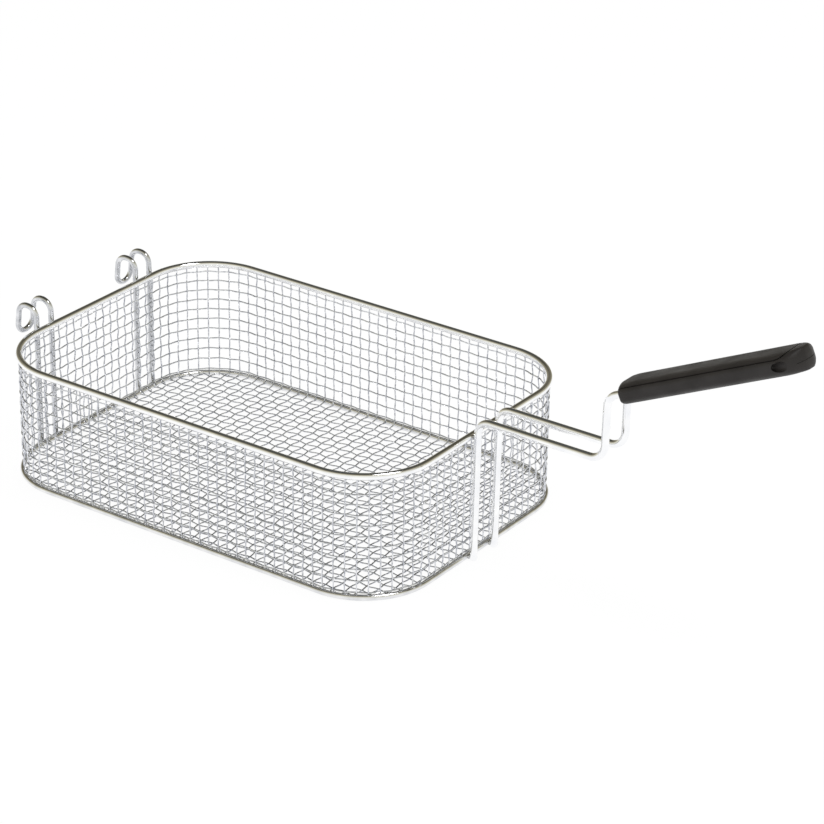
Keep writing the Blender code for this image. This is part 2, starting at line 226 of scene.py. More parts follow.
def drift(tree, shader, place, patch, detail, tints, roughness):
    """Lets the colour and the roughness drift over patches, from the first of each pair to the second."""
    cloud = {"Vector": place, "Scale": 1 / patch, "Detail": detail}
    noise = add_node(tree, "ShaderNodeTexNoise", {}, cloud)
    tint = add_node(tree, "ShaderNodeValToRGB", {}, {"Fac": noise.outputs["Fac"]})
    set_ramp(tint, [(NOISE_LOW, tints[0]), (NOISE_HIGH, tints[1])])
    spread = {"Value": noise.outputs["Fac"], "From Min": NOISE_LOW, "From Max": NOISE_HIGH}
    spread |= {"To Min": roughness[0], "To Max": roughness[1]}
    gloss = add_node(tree, "ShaderNodeMapRange", {}, spread)
    tree.links.new(tint.outputs["Color"], shader.inputs["Base Color"])
    tree.links.new(gloss.outputs["Result"], shader.inputs["Roughness"])


def dimple(tree, shader, place, size, depth, strength):
    """Covers the surface with dents of one size."""
    noise = add_node(tree, "ShaderNodeTexNoise", {}, {"Vector": place, "Scale": 1 / size, "Detail": 2})
    relief = {"Height": noise.outputs["Fac"], "Strength": strength, "Distance": depth}
    bump = add_node(tree, "ShaderNodeBump", {}, relief)
    tree.links.new(bump.outputs["Normal"], shader.inputs["Normal"])


def plated_wire(name, tints, roughness, patch, dent, dent_depth):
    """Drawn steel wire with a bright chrome plate: a mirror that the drawing left a little wavy.

    The colour and the gloss drift over patches, and the shallow dents break up long reflections. Where a
    wire's tints are dimmer than bright chrome, they are painted shade.
    """
    material, tree, shader = bare_material(name)
    place = add_node(tree, "ShaderNodeTexCoord").outputs["Object"]
    drift(tree, shader, place, patch, 3, tints, roughness)
    dimple(tree, shader, place, dent, dent_depth, 1)
    shader.inputs["Metallic"].default_value = 1
    return material


def moulded_nylon(name):
    """Black glass-filled nylon from a spark-eroded mould, so it is matt and finely grained."""
    material, tree, shader = bare_material(name)
    place = add_node(tree, "ShaderNodeTexCoord").outputs["Object"]
    # The tint and the gloss change where the plastic flowed, over patches of about 18 mm
    drift(tree, shader, place, 0.018, 4, ("#1b1817", "#252221"), (0.58, 0.44))
    # The real grain is about 0.1 mm and would not show, so it is drawn at 0.7 mm
    dimple(tree, shader, place, 0.0007, 0.0001, 0.5)
    shader.inputs["Specular IOR Level"].default_value = 0.33
    return material


bright_plate = plated_wire(
    "bright_chromed_wire",
    tints=("#f4f5f8", "#ffffff"),
    roughness=(0.09, 0.04),
    patch=0.011,
    dent=0.006,
    dent_depth=0.00003,
)
# The woven wire's tints are dimmed as painted shade, and its light and dark flecks over 2.2 mm patches are
# painted glints
woven_plate_painted_shade = plated_wire(
    "woven_wire_painted_shade_and_glints",
    tints=("#abaeb6", "#f1f2f5"),
    roughness=(0.16, 0.08),
    patch=0.0022,
    dent=0.0014,
    dent_depth=0.00006,
)
# The base ring's plate is tinted darker than the rim's: painted shade
ring_plate_painted_shade = plated_wire(
    "base_ring_plate_painted_shade",
    tints=("#d8d9dc", "#f0f0f1"),
    roughness=(0.10, 0.05),
    patch=0.009,
    dent=0.006,
    dent_depth=0.00003,
)
# The hooks' plate is tinted greyer than the rim's: painted shade
hook_plate_painted_shade = plated_wire(
    "hook_wire_plate_painted_shade",
    tints=("#b9bbbf", "#e6e7ea"),
    roughness=(0.12, 0.05),
    patch=0.006,
    dent=0.004,
    dent_depth=0.00004,
)
weld_plate = plated_wire(
    "plated_weld",
    tints=("#9c9ca0", "#d5d5d4"),
    roughness=(0.38, 0.18),
    patch=0.002,
    dent=0.0009,
    dent_depth=0.00012,
)
black_nylon = moulded_nylon("moulded_black_nylon")


# Modelling steps


def deselect():
    if bpy.context.object and bpy.context.object.mode != "OBJECT":
        bpy.ops.object.mode_set(mode="OBJECT")
    bpy.ops.object.select_all(action="DESELECT")


def use_only(piece):
    deselect()
    piece.select_set(True)
    bpy.context.view_layer.objects.active = piece


def edit(piece, select="SELECT"):
    """Opens the piece for editing by its points, with all of them selected, or none."""
    use_only(piece)
    bpy.ops.object.mode_set(mode="EDIT")
    bpy.ops.mesh.select_mode(type="VERT")
    bpy.ops.mesh.select_all(action=select)


def settle(piece):
    """Leaves the object at the origin, unturned, with its place in its mesh."""
    use_only(piece)
    bpy.ops.object.transform_apply(location=True, rotation=True, scale=True)


def apply_modifiers(piece):
    use_only(piece)
    for modifier in list(piece.modifiers):
        bpy.ops.object.modifier_apply(modifier=modifier.name)


def face_out(piece):
    """Turns every face outwards."""
    edit(piece)
    bpy.ops.mesh.normals_make_consistent(inside=False)
    bpy.ops.object.mode_set(mode="OBJECT")


def join(pieces, name):
    """Joins finished shapes into one piece, whose parts stay as they are."""
    deselect()
    for piece in pieces:
        piece.select_set(True)
    bpy.context.view_layer.objects.active = pieces[0]
    bpy.ops.object.join()
    pieces[0].name = pieces[0].data.name = name
    return pieces[0]


def draw_out(shift):
    """Extrudes what is selected by a vector."""
    bpy.ops.mesh.extrude_region_move(TRANSFORM_OT_translate={"value": shift})


def finish_piece(piece, name, material, nodes):
    """Names and shades a finished piece, hides the parts of the frame that it stands for, and hangs it on
    the root body.
    """
    piece.name = piece.data.name = name
    settle(piece)
    bpy.ops.object.shade_smooth_by_angle(angle=SMOOTH_ANGLE)
    piece.data.materials.clear()
    piece.data.materials.append(material)
    if nodes:
        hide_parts(*nodes)
    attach(piece, "root")
    return piece


def wire_end(diameter, place, ahead, sides):
    """The round end of a wire, facing along it, ready to be drawn out."""
    deselect()
    bpy.ops.mesh.primitive_circle_add(
        vertices=sides,
        radius=diameter / 2,
        fill_type="NGON",
        location=place,
        rotation=ahead.to_track_quat("Z", "Y").to_euler(),
    )
    piece = bpy.context.object
    settle(piece)
    return piece


def draw_on(place, ahead, moves, degrees_per_step):
    """Draws the selected end of a wire on through straight runs and bends, and returns where it ends."""
    for move in moves:
        if isinstance(move, float):
            draw_out(ahead * move)
            place = place + ahead * move
            continue
        radius, degrees, axis = move
        centre = place + axis.cross(ahead) * radius
        turn = Matrix.Rotation(math.radians(degrees), 3, axis)
        steps = round(degrees / degrees_per_step)
        # With no window, spin turns the other way
        bpy.ops.mesh.spin(steps=steps, angle=-math.radians(degrees), center=centre, axis=axis)
        place = centre + turn @ (place - centre)
        ahead = turn @ ahead
    return place


def bent_wire(diameter, start, heading, moves, closed=False):
    """Draws a wire as a bender makes it, in straight runs and round bends.

    A run is its length. A bend is its radius, its degrees and the axis that it turns about.
    """
    piece = wire_end(diameter, Vector(start), Vector(heading), ROD_SIDES)
    edit(piece)
    draw_on(Vector(start), Vector(heading), moves, ROD_STEP)
    caps = [face for face in face_list(piece) if len(face.vertices) == ROD_SIDES]
    if closed:
        select_faces(piece, caps)
        bpy.ops.mesh.delete(type="ONLY_FACE")
        bpy.ops.mesh.select_all(action="SELECT")
        bpy.ops.mesh.remove_doubles(threshold=MERGE)
    else:
        # The shears leave a small chamfer on each cut end
        select_faces(piece, caps)
        bpy.ops.mesh.bevel(offset=diameter * CHAMFER_SHARE, segments=2, affect="EDGES")
    face_out(piece)
    return piece


def way_back(moves):
    """The moves that lead back beside the way out: its bends turn about the opposite axes."""
    return [move if isinstance(move, float) else (move[0], move[1], -move[2]) for move in reversed(moves)]


def face_list(piece):
    """The faces of the piece that is being edited, as it is now."""
    bpy.ops.object.mode_set(mode="OBJECT")
    return list(piece.data.polygons)


def select_faces(piece, faces):
    """Selects just these faces and returns to edit mode."""
    for item in (*piece.data.vertices, *piece.data.edges, *piece.data.polygons):
        item.select = False
    for face in faces:
        face.select = True
    bpy.ops.object.mode_set(mode="EDIT")
    bpy.ops.mesh.select_mode(type="FACE")


# Rim and base ring


def ring_wire(grow, z, diameter):
    """A closed ring that follows the wall's outline, grown outwards, from the middle of its near side."""
    corner = (CORNER + grow, 90, Z)
    start = (CENTRE_X, -HALF_WIDTH - grow, z)
    far_half = [STRAIGHT_Y, corner, STRAIGHT_X, corner, STRAIGHT_Y]
    moves = [STRAIGHT_X / 2, corner] + far_half + [corner, STRAIGHT_X / 2]
    return bent_wire(diameter, start, X, moves, closed=True)


rim = ring_wire(0, RIM_Z, RIM_WIRE)
finish_piece(rim, "rim", bright_plate, ["rim_wire"])
base = ring_wire(FLUSH, BASE_Z, BASE_WIRE)
finish_piece(base, "base", ring_plate_painted_shade, ["base_ring"])


# Handle wire

handle_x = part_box("handle_wire")[0].x + HANDLE_WIRE / 2
neck = Vector((handle_x + HANDLE_REACH, 0, HANDLE_RUN_Z + HANDLE_CLIMB))
through_grip = Vector((-math.sin(GRIP_SLOPE), 0, math.cos(GRIP_SLOPE)))
neck_degrees = 90 - math.degrees(GRIP_SLOPE)
neck_tangent = NECK_RADIUS * math.tan(math.radians(neck_degrees) / 2)
grip_start = neck_tangent + GRIP_STANDOFF
grip_tip = grip_start + GRIP_LENGTH


def handle_wire():
    """Up one leg, out, up the neck and along the grip, then round and back beside itself."""
    half = HANDLE_SPACING / 2
    up_leg = [
        HANDLE_RUN_Z - LEG_END_Z - SHOULDER_RADIUS,
        (SHOULDER_RADIUS, 90, Y),
        HANDLE_REACH - SHOULDER_RADIUS - ELBOW_RADIUS,
        (ELBOW_RADIUS, 90, -Y),
        HANDLE_CLIMB - ELBOW_RADIUS - neck_tangent,
        (NECK_RADIUS, neck_degrees, Y),
        grip_tip - TURN_TO_TIP - neck_tangent - half,
    ]
    moves = up_leg + [(half, 90, through_grip), (half, 90, through_grip)] + way_back(up_leg)
    return bent_wire(HANDLE_WIRE, (handle_x, -half, LEG_END_Z), Z, moves)


def lean(piece):
    """Shifts the handle to where it is welded on, and leans it."""
    piece.location.y = HANDLE_SHIFT
    piece.rotation_euler.x = -HANDLE_LEAN
    settle(piece)
    return piece


finish_piece(lean(handle_wire()), "handle_rod", bright_plate, ["handle_wire"])


# Hooks


def hook_wire(node):
    """Up outside the wall, over, down with a slight splay to the closed end, and back beside itself."""
    low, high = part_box(node)
    leg_x = high.x - HOOK_WIRE / 2
    leg_y = (low.y + high.y) / 2 - HOOK_SPACING / 2
    half = HOOK_SPACING / 2
    splay = math.atan(HOOK_SPLAY / HOOK_DROP)
    over = math.pi / 2 - splay
    tangent = HOOK_BEND * math.tan(over / 2)
    closed_end = (half, 90, Vector((math.cos(splay), 0, -math.sin(splay))))
    up_leg = [
        RIM_Z + HOOK_RISE - HOOK_BEND - LEG_END_Z,
        (HOOK_BEND, 90, -Y),
        HOOK_BEND - tangent,
        (HOOK_BEND, math.degrees(over), -Y),
        math.hypot(HOOK_SPLAY, HOOK_DROP) - tangent - half,
    ]
    moves = up_leg + [closed_end, closed_end] + way_back(up_leg)
    return bent_wire(HOOK_WIRE, (leg_x, leg_y, LEG_END_Z), Z, moves)


for side in ("near", "far"):
    node = f"{side}_hook"
    finish_piece(hook_wire(node), f"{side}_hanging_hook", hook_plate_painted_shade, [node])


# Welds


def weld_bead(place, size, seed):
    """A small uneven lump of melted wire that fills the groove where a leg crosses a ring."""
    deselect()
    bpy.ops.mesh.primitive_uv_sphere_add(segments=14, ring_count=9, radius=0.5, location=place)
    bead = bpy.context.object
    bead.scale = size
    settle(bead)
    edit(bead)
    bpy.ops.transform.vertex_random(offset=size[0] * BEAD_UNEVEN, seed=seed)
    bpy.ops.mesh.vertices_smooth(factor=0.5)
    face_out(bead)
    return bead


def weld_legs(name, contact_x, leg_places, size):
    """The beads of one bent wire: each of its two legs is welded to the rim and to the base ring."""
    beads = [weld_bead((contact_x, y, z), size, number) for number, (y, z) in enumerate(leg_places)]
    finish_piece(join(beads, name), name, weld_plate, [])


both_rings = (RIM_Z, BASE_Z)
leg_offsets = (-HANDLE_SPACING / 2, HANDLE_SPACING / 2)
handle_legs = [(y + HANDLE_SHIFT + z * math.sin(HANDLE_LEAN), z) for y in leg_offsets for z in both_rings]
handle_contact = (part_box("handle_wire")[0].x + rim_high.x) / 2
weld_legs("handle_welds", handle_contact, handle_legs, HANDLE_BEAD)
for side in ("near", "far"):
    low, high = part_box(f"{side}_hook")
    middle_y = (low.y + high.y) / 2
    hook_legs = [(middle_y + y, z) for y in (-HOOK_SPACING / 2, HOOK_SPACING / 2) for z in both_rings]
    weld_legs(f"{side}_hook_welds", (high.x + rim_low.x) / 2, hook_legs, HOOK_BEAD)


# Grip


def grip_shares(u):
    """The grip's width and height at a distance from its back end, as shares of its full section."""
    along = u / GRIP_LENGTH
    width = 1 - GRIP_TAPER / GRIP_WIDTH * along
    for room, radius in ((u, BACK_ROUND), (GRIP_LENGTH - u, NOSE_ROUND)):
        width *= math.sqrt(1 - (1 - min(1, room / radius)) ** 2)
    edge = min(1, u / END_EDGE, (GRIP_LENGTH - u) / END_EDGE)
    drop = 2 * ROUND_HIGH / GRIP_THICKNESS * (1 - math.sqrt(1 - (1 - edge) ** 2))
    return width, (1 + GRIP_FLARE / GRIP_THICKNESS * along) * (1 - drop)


def grip_blank():
    """The grip before it is parted: a rounded section drawn out along it, and drawn in at both ends."""
    deselect()
    middle = (grip_start, 0, -GRIP_SINK)
    bpy.ops.mesh.primitive_grid_add(
        x_subdivisions=2, y_subdivisions=2, size=1, location=middle, rotation=(0, math.pi / 2, 0)
    )
    piece = bpy.context.object
    # The corners are rounded on a section that is too high, and squashing it makes them elliptical
    squash = ROUND_HIGH / ROUND_ACROSS
    high = GRIP_THICKNESS / squash
    piece.scale = (high, GRIP_WIDTH, 1)
    settle(piece)
    edit(piece, "DESELECT")
    bpy.ops.object.mode_set(mode="OBJECT")
    for vert in piece.data.vertices:
        vert.select = abs(vert.co.y) > GRIP_WIDTH / 4 and abs(vert.co.z + GRIP_SINK) > high / 4
    bpy.ops.object.mode_set(mode="EDIT")
    bpy.ops.mesh.bevel(offset=ROUND_ACROSS, segments=CORNER_SEGMENTS, affect="VERTICES")
    bpy.ops.mesh.select_all(action="SELECT")
    bpy.ops.transform.resize(value=(1, 1, squash), center_override=middle)
    back = [BACK_ROUND * (1 - math.cos(math.radians(a))) for a in range(12, 84, 12)]
    nose = [GRIP_LENGTH - NOSE_ROUND * (1 - math.cos(math.radians(a))) for a in range(90, 6, -6)]
    straight = nose[0] - BACK_ROUND
    stations = back + [BACK_ROUND + straight * step / BODY_STEPS for step in range(BODY_STEPS)] + nose
    width, height = grip_shares(stations[0])
    bpy.ops.transform.translate(value=(stations[0], 0, 0))
    bpy.ops.transform.resize(value=(1, width, height), center_override=middle)
    for here, there in zip(stations, stations[1:]):
        old_width, old_height = grip_shares(here)
        width, height = grip_shares(there)
        draw_out((there - here, 0, 0))
        bpy.ops.transform.resize(value=(1, width / old_width, height / old_height), center_override=middle)
    face_out(piece)
    return piece


def parting_space(margin):
    """The space above the parting line, grown by a margin. It is level, then sweeps up at the nose."""
    deselect()
    top = GRIP_THICKNESS
    part = PART_W - margin
    back = grip_start - 0.01
    middle = (back, 0, (part + top) / 2)
    bpy.ops.mesh.primitive_plane_add(size=1, location=middle, rotation=(0, math.pi / 2, 0))
    space = bpy.context.object
    space.scale = (top - part, 2 * GRIP_WIDTH, 1)
    settle(space)
    edit(space)
    front = grip_start + COVER_RUN + margin
    draw_out((front - back, 0, 0))
    height = top - part
    for step in range(1, SWEEP_LAST_STEP + 1):
        rise = COVER_RISE * (step / SWEEP_STEPS) ** SWEEP_POWER
        draw_out((COVER_SWEEP / SWEEP_STEPS, 0, 0))
        share = (top - part - rise) / height
        bpy.ops.transform.resize(value=(1, 1, share), center_override=(front, 0, top))
        height *= share
    face_out(space)
    return space


def carve(piece, tool, operation="DIFFERENCE"):
    """Cuts the piece with another solid, or adds that solid to it. The other solid is used up."""
    cut = piece.modifiers.new("cut", "BOOLEAN")
    cut.operation = operation
    cut.solver = "EXACT"
    cut.object = tool
    apply_modifiers(piece)
    bpy.data.objects.remove(tool)


def wire_channel():
    """The doubled channel that the wire fills, open at the back of the grip."""
    half = HANDLE_SPACING / 2
    run = grip_tip - TURN_TO_TIP - half
    bend = (half, 90, Z)
    return bent_wire(HANDLE_WIRE + 2 * PART_GAP, (0, -half, 0), X, [run, bend, bend, run])


def finger_scoop(side):
    """A hollow in the side of the grip behind the nose, deep at its back and running out forwards."""
    deselect()
    middle = (SCOOP_U, side * SCOOP_V, SCOOP_W)
    bpy.ops.mesh.primitive_uv_sphere_add(segments=48, ring_count=24, radius=1, location=middle)
    scoop = bpy.context.object
    scoop.scale = SCOOP_SIZE
    scoop.rotation_euler.z = side * SCOOP_TURN
    settle(scoop)
    return scoop


def nose_seam():
    """A thin ring round the nose, where the two halves of the mould met."""
    ring = grip_blank()
    core = grip_blank()
    use_only(core)
    core.scale = (1, 1 - 2 * SEAM_DEPTH / GRIP_WIDTH, 1)
    core.location.x = -SEAM_DEPTH
    settle(core)
    deselect()
    bpy.ops.mesh.primitive_cube_add(size=1, location=(grip_tip, 0, SEAM_W))
    slab = bpy.context.object
    reach = grip_tip - SCOOP_U - SCOOP_SIZE[0] * SEAM_IN_SCOOP
    slab.scale = (2 * reach, 2 * GRIP_WIDTH, SEAM_WIDTH)
    settle(slab)
    carve(ring, slab, "INTERSECT")
    # It stands out past the grip's own surface, so that cutting it away leaves no film there
    ring.scale = (SEAM_OVERSIZE, SEAM_OVERSIZE, 1)
    settle(ring)
    carve(ring, core)
    return ring


def nose_lip():
    """A round bead about the top of the nose. It stands just proud of it and catches the light."""
    path = bpy.data.curves.new("lip", "CURVE")
    path.dimensions = "3D"
    path.bevel_depth = LIP_WIDTH / 2
    path.bevel_resolution = 5
    path.use_fill_caps = True
    line = path.splines.new("POLY")
    turns = [math.radians(degrees) for degrees in range(-90, 90 + LIP_STEP, LIP_STEP)]
    line.points.add(len(turns) - 1)
    for point, turn in zip(line.points, turns):
        u, v = LIP_BACK + LIP_REACH * math.cos(turn), LIP_HALF * math.sin(turn)
        point.co = (u, v, LIP_LOW + LIP_RISE * math.cos(turn), 1)
    lip = bpy.data.objects.new("lip", path)
    bpy.context.scene.collection.objects.link(lip)
    use_only(lip)
    bpy.ops.object.convert(target="MESH")
    lip = bpy.context.object
    edit(lip)
    bpy.ops.mesh.remove_doubles(threshold=MERGE)
    face_out(lip)
    return lip


def seat_on_neck(piece):
    """Turns the grip from its own axes to its slope, and sets it on the handle wire's neck."""
    piece.rotation_euler = (0, -GRIP_SLOPE, 0)
    piece.location = neck
    settle(piece)
    return lean(piece)


def round_edges(piece, width):
    """Rounds the sharp edges, and takes out the tiny edges that this leaves."""
    edges = piece.modifiers.new("rounded_edges", "BEVEL")
    edges.width = width
    edges.segments = 3
    edges.limit_method = "ANGLE"
    edges.angle_limit = SHARP_EDGE
    apply_modifiers(piece)
    edit(piece)
    bpy.ops.mesh.dissolve_degenerate(threshold=TINY)
    bpy.ops.object.mode_set(mode="OBJECT")


grip = grip_blank()
carve(grip, parting_space(PART_GAP / 2))
for side in (-1, 1):
    carve(grip, finger_scoop(side))
carve(grip, wire_channel())
carve(grip, nose_seam())
round_edges(grip, EDGE_ROUND)
carve(grip, nose_lip(), "UNION")
finish_piece(seat_on_neck(grip), "grip_lower_moulding", black_nylon, ["grip_body"])

cover = grip_blank()
carve(cover, parting_space(-PART_GAP / 2), "INTERSECT")
round_edges(cover, EDGE_ROUND)
finish_piece(seat_on_neck(cover), "grip_cover_moulding", black_nylon, ["grip_cover"])


# Woven wall


def on_wall(distance):
    """The place and the outward direction at a distance round from the middle of the near side."""
    legs = (
        (STRAIGHT_X / 2, STRAIGHT_X / 2, -STRAIGHT_Y / 2, 0),
        (STRAIGHT_Y, STRAIGHT_X / 2, STRAIGHT_Y / 2, 1),
        (STRAIGHT_X, -STRAIGHT_X / 2, STRAIGHT_Y / 2, 2),
        (STRAIGHT_Y, -STRAIGHT_X / 2, -STRAIGHT_Y / 2, 3),
        (STRAIGHT_X / 2, 0, -STRAIGHT_Y / 2, 4),
    )
    left = distance % PERIMETER
    for length, end_x, end_y, quarter in legs:
        along = Matrix.Rotation(quarter * math.pi / 2, 3, "Z") @ X
        out = Vector((along.y, -along.x, 0))
        centre = Vector((CENTRE_X + end_x, end_y, 0))
        if left <= length or quarter == 4:
            return centre + out * CORNER - along * (length - left), out
        left -= length
        if left <= ARC:
            out = Matrix.Rotation(left / CORNER, 3, "Z") @ out
            return centre + out * CORNER, out
        left -= ARC


# One upright stands at a measured place on the far side, and the rest follow round from it
far_middle = STRAIGHT_X + STRAIGHT_Y + 2 * ARC
first_upright = (far_middle - FIRST_FAR_UPRIGHT) % PITCH


def draw_wave(pitches, bow_y, bow_z):
    """Draws the selected end of a wire on along X in a wave, which starts at the top of a bow."""
    for step in range(pitches * STEPS_PER_PITCH):
        here, there = (math.cos(math.pi * (step + k) / STEPS_PER_PITCH) for k in (0, 1))
        shift = Vector((PITCH / STEPS_PER_PITCH, bow_y * (there - here), bow_z * (there - here)))
        draw_out(shift)


def crimped_hoop(z, sign):
    """One hoop. A wave of two pitches is drawn, repeated, and bent round to the wall's outline."""
    bow = sign * HOOP_CRIMP
    wave = wire_end(MESH_WIRE, Vector((0, bow, z)), X, MESH_SIDES)
    edit(wave)
    bpy.ops.mesh.delete(type="ONLY_FACE")
    bpy.ops.mesh.select_all(action="SELECT")
    draw_wave(2, bow, 0)
    bpy.ops.object.mode_set(mode="OBJECT")
    repeat = wave.modifiers.new("repeat", "ARRAY")
    repeat.use_relative_offset = False
    repeat.use_constant_offset = True
    repeat.constant_offset_displace = (2 * PITCH, 0, 0)
    repeat.count = UPRIGHT_COUNT // 2
    repeat.use_merge_vertices = True
    repeat.merge_threshold = MERGE
    apply_modifiers(wave)
    # Each point goes from its distance along the wave to the same distance round the wall
    for vert in wave.data.vertices:
        place, out = on_wall(first_upright + vert.co.x)
        vert.co = place + out * vert.co.y + Z * vert.co.z
    edit(wave)
    bpy.ops.mesh.remove_doubles(threshold=MERGE)
    face_out(wave)
    return wave


hoop_heights = []
for number, node in enumerate(HOOPS):
    low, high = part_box(node)
    hoop_heights.append((low.z + high.z) / 2)
    hoop = crimped_hoop(hoop_heights[-1], 1 if number % 2 else -1)
    finish_piece(hoop, f"woven_{node}", woven_plate_painted_shade, [node])

lowest_height = ring_high.z + MESH_WIRE / 2 + LOWEST_HOOP_LIFT
hoop_heights.append(lowest_height)
lowest = crimped_hoop(lowest_height, 1 if len(HOOPS) % 2 else -1)
finish_piece(lowest, "woven_hoop_lowest", woven_plate_painted_shade, [])


def upright_foot():
    """Where an upright starts and how it bends: off the floor, over the inside of the ring, and up."""
    touch = BASE_WIRE / 2 + MESH_WIRE / 2
    over = touch / math.sin(FOOT_LEAN) - FLUSH
    rise = over * math.tan(FOOT_LEAN)
    bends = [FOOT_LEAN, math.pi / 2 - FOOT_LEAN]
    tangents = [FOOT_RADIUS * math.tan(bend / 2) for bend in bends]
    moves = [FOOT_RUN, (FOOT_RADIUS, math.degrees(bends[0]), X)]
    moves += [math.hypot(over, rise) - sum(tangents), (FOOT_RADIUS, math.degrees(bends[1]), X)]
    return Vector((0, -over - tangents[0] - FOOT_RUN, BASE_Z)), moves


def crimped_upright(sign):
    """One upright, with its outward side along +Y, bowed round each hoop and straight into the rim."""
    start, moves = upright_foot()
    wire = wire_end(MESH_WIRE, start, Y, MESH_SIDES)
    edit(wire)
    levels = [(draw_on(start, Y, moves, FOOT_STEP).z, 0)]
    bows = [(z, sign * (-1) ** number) for number, z in enumerate(hoop_heights[:-1])][::-1]
    levels += bows + [(RIM_Z - RIM_WIRE / 2 + WELD_DEPTH, 0)]
    stations = [levels[0]]
    for (z0, bow0), (z1, bow1) in zip(levels, levels[1:]):
        for step in range(1, STEPS_PER_PITCH + 1):
            part = step / STEPS_PER_PITCH
            ease = (1 - math.cos(math.pi * part)) / 2
            stations.append((z0 + (z1 - z0) * part, bow0 + (bow1 - bow0) * ease))
    for (z0, bow0), (z1, bow1) in zip(stations, stations[1:]):
        shift = Vector((0, UPRIGHT_CRIMP * (bow1 - bow0), z1 - z0))
        draw_out(shift)
    face_out(wire)
    return wire


def copy_of(piece, matrix):
    """A copy with its own mesh, moved by a matrix."""
    twin = piece.copy()
    twin.data = piece.data.copy()
    bpy.context.scene.collection.objects.link(twin)
    twin.data.transform(matrix)
    return twin


def remove(pieces):
    for piece in pieces:
        bpy.data.objects.remove(piece)


# The stretches of wall from the middle of the near side on, each with the length of the one before it
WALLS = (
    ("near_wall", 0),
    ("near_handle_corner", STRAIGHT_X / 2),
    ("handle_end", ARC),
    ("far_handle_corner", STRAIGHT_Y),
    ("far_wall", ARC),
    ("far_hook_corner", STRAIGHT_X),
    ("hook_end", ARC),
    ("near_hook_corner", STRAIGHT_Y),
    ("near_wall", ARC),
)


def wall_at(distance):
    """The name of the stretch of wall at a distance round it."""
    name, end = WALLS[0][0], 0
    for stretch, length in WALLS:
        end += length
        if distance >= end:
            name = stretch
    return name


# A hoop that bows outwards at an upright has that upright bowed inwards
masters = [crimped_upright(1), crimped_upright(-1)]
stretches = {}
for number in range(UPRIGHT_COUNT):
    distance = (first_upright + number * PITCH) % PERIMETER
    place, out = on_wall(distance)
    turn = Matrix.Translation(place) @ Matrix.Rotation(math.atan2(out.y, out.x) - math.pi / 2, 4, "Z")
    stretches.setdefault(wall_at(distance), []).append(copy_of(masters[number % 2], turn))
remove(masters)
for name, wires in stretches.items():
    uprights = join(wires, f"woven_{name}")
    finish_piece(uprights, f"woven_{name}", woven_plate_painted_shade, [f"{name}_wires"])


# Woven floor


def floor_reach(offset, half_straight, half_span):
    """How far a floor wire runs each way before it meets the base ring."""
    inner = CORNER + FLUSH - BASE_WIRE / 2 + WELD_DEPTH
    past = max(0, abs(offset) - half_straight)
    return half_span - CORNER + math.sqrt(inner**2 - past**2)


def crimped_rod(sign):
    """A crimped wire along X, longer than any in the floor, whose middle bow is at the origin."""
    start = -FLOOR_PITCHES_EACH_WAY * PITCH
    bow = sign * (-1) ** FLOOR_PITCHES_EACH_WAY * FLOOR_CRIMP
    rod = wire_end(MESH_WIRE, Vector((start, 0, bow)), X, MESH_SIDES)
    edit(rod)
    draw_wave(2 * FLOOR_PITCHES_EACH_WAY, 0, bow)
    face_out(rod)
    return rod


def cut_to(piece, place, outward):
    """Cuts the piece off square at a plane and closes the cut."""
    edit(piece)
    bpy.ops.mesh.bisect(plane_co=place, plane_no=outward, use_fill=True, clear_outer=True)
    bpy.ops.object.mode_set(mode="OBJECT")


def floor_layer(rods, offsets, first, half_span, half_straight, quarter_turn):
    """One layer of floor wires, each at its offset, shifted to bow over and under those that cross it."""
    across = Matrix.Rotation(math.pi / 2, 4, "Z") @ Matrix.Diagonal((1, -1, 1, 1))
    laid = Matrix.Translation((CENTRE_X, 0, BASE_Z)) @ (across if quarter_turn else Matrix())
    wires = []
    for number, offset in offsets:
        rod = copy_of(rods[number % 2], Matrix.Translation((first, 0, 0)))
        end = floor_reach(offset, half_straight, half_span)
        cut_to(rod, (end, 0, 0), X)
        cut_to(rod, (-end, 0, 0), -X)
        rod.data.transform(laid @ Matrix.Translation((0, offset, 0)))
        wires.append(rod)
    return wires


long_first = PITCH / 2
cross_first = FIRST_FAR_UPRIGHT
long_offsets = [(n, long_first + n * PITCH) for n in range(-FLOOR_ROWS // 2, FLOOR_ROWS // 2)]
inner_x = HALF_LENGTH - BASE_WIRE
lowest_cross = math.ceil((-inner_x - cross_first) / PITCH)
highest_cross = math.floor((inner_x - cross_first) / PITCH)
cross_offsets = [(n, cross_first + n * PITCH) for n in range(lowest_cross, highest_cross + 1)]
rods = [crimped_rod(1), crimped_rod(-1)]
long_wires = floor_layer(rods, long_offsets, cross_first, HALF_LENGTH, STRAIGHT_Y / 2, False)
cross_wires = floor_layer(rods[::-1], cross_offsets, long_first, HALF_WIDTH, STRAIGHT_X / 2, True)
remove(rods)
floor_long = join(long_wires, "woven_floor_long_wires")
face_out(floor_long)
finish_piece(floor_long, "woven_floor_long_wires", woven_plate_painted_shade, ["floor_mesh"])
floor_cross = join(cross_wires, "woven_floor_cross_wires")
face_out(floor_cross)
finish_piece(floor_cross, "woven_floor_cross_wires", woven_plate_painted_shade, ["floor_mesh"])


# Studio

TABLE_SIZE = 30
TABLE_WHITE = 0.94
CEILING_FACES = (-0.35, 0.40, 0.847)


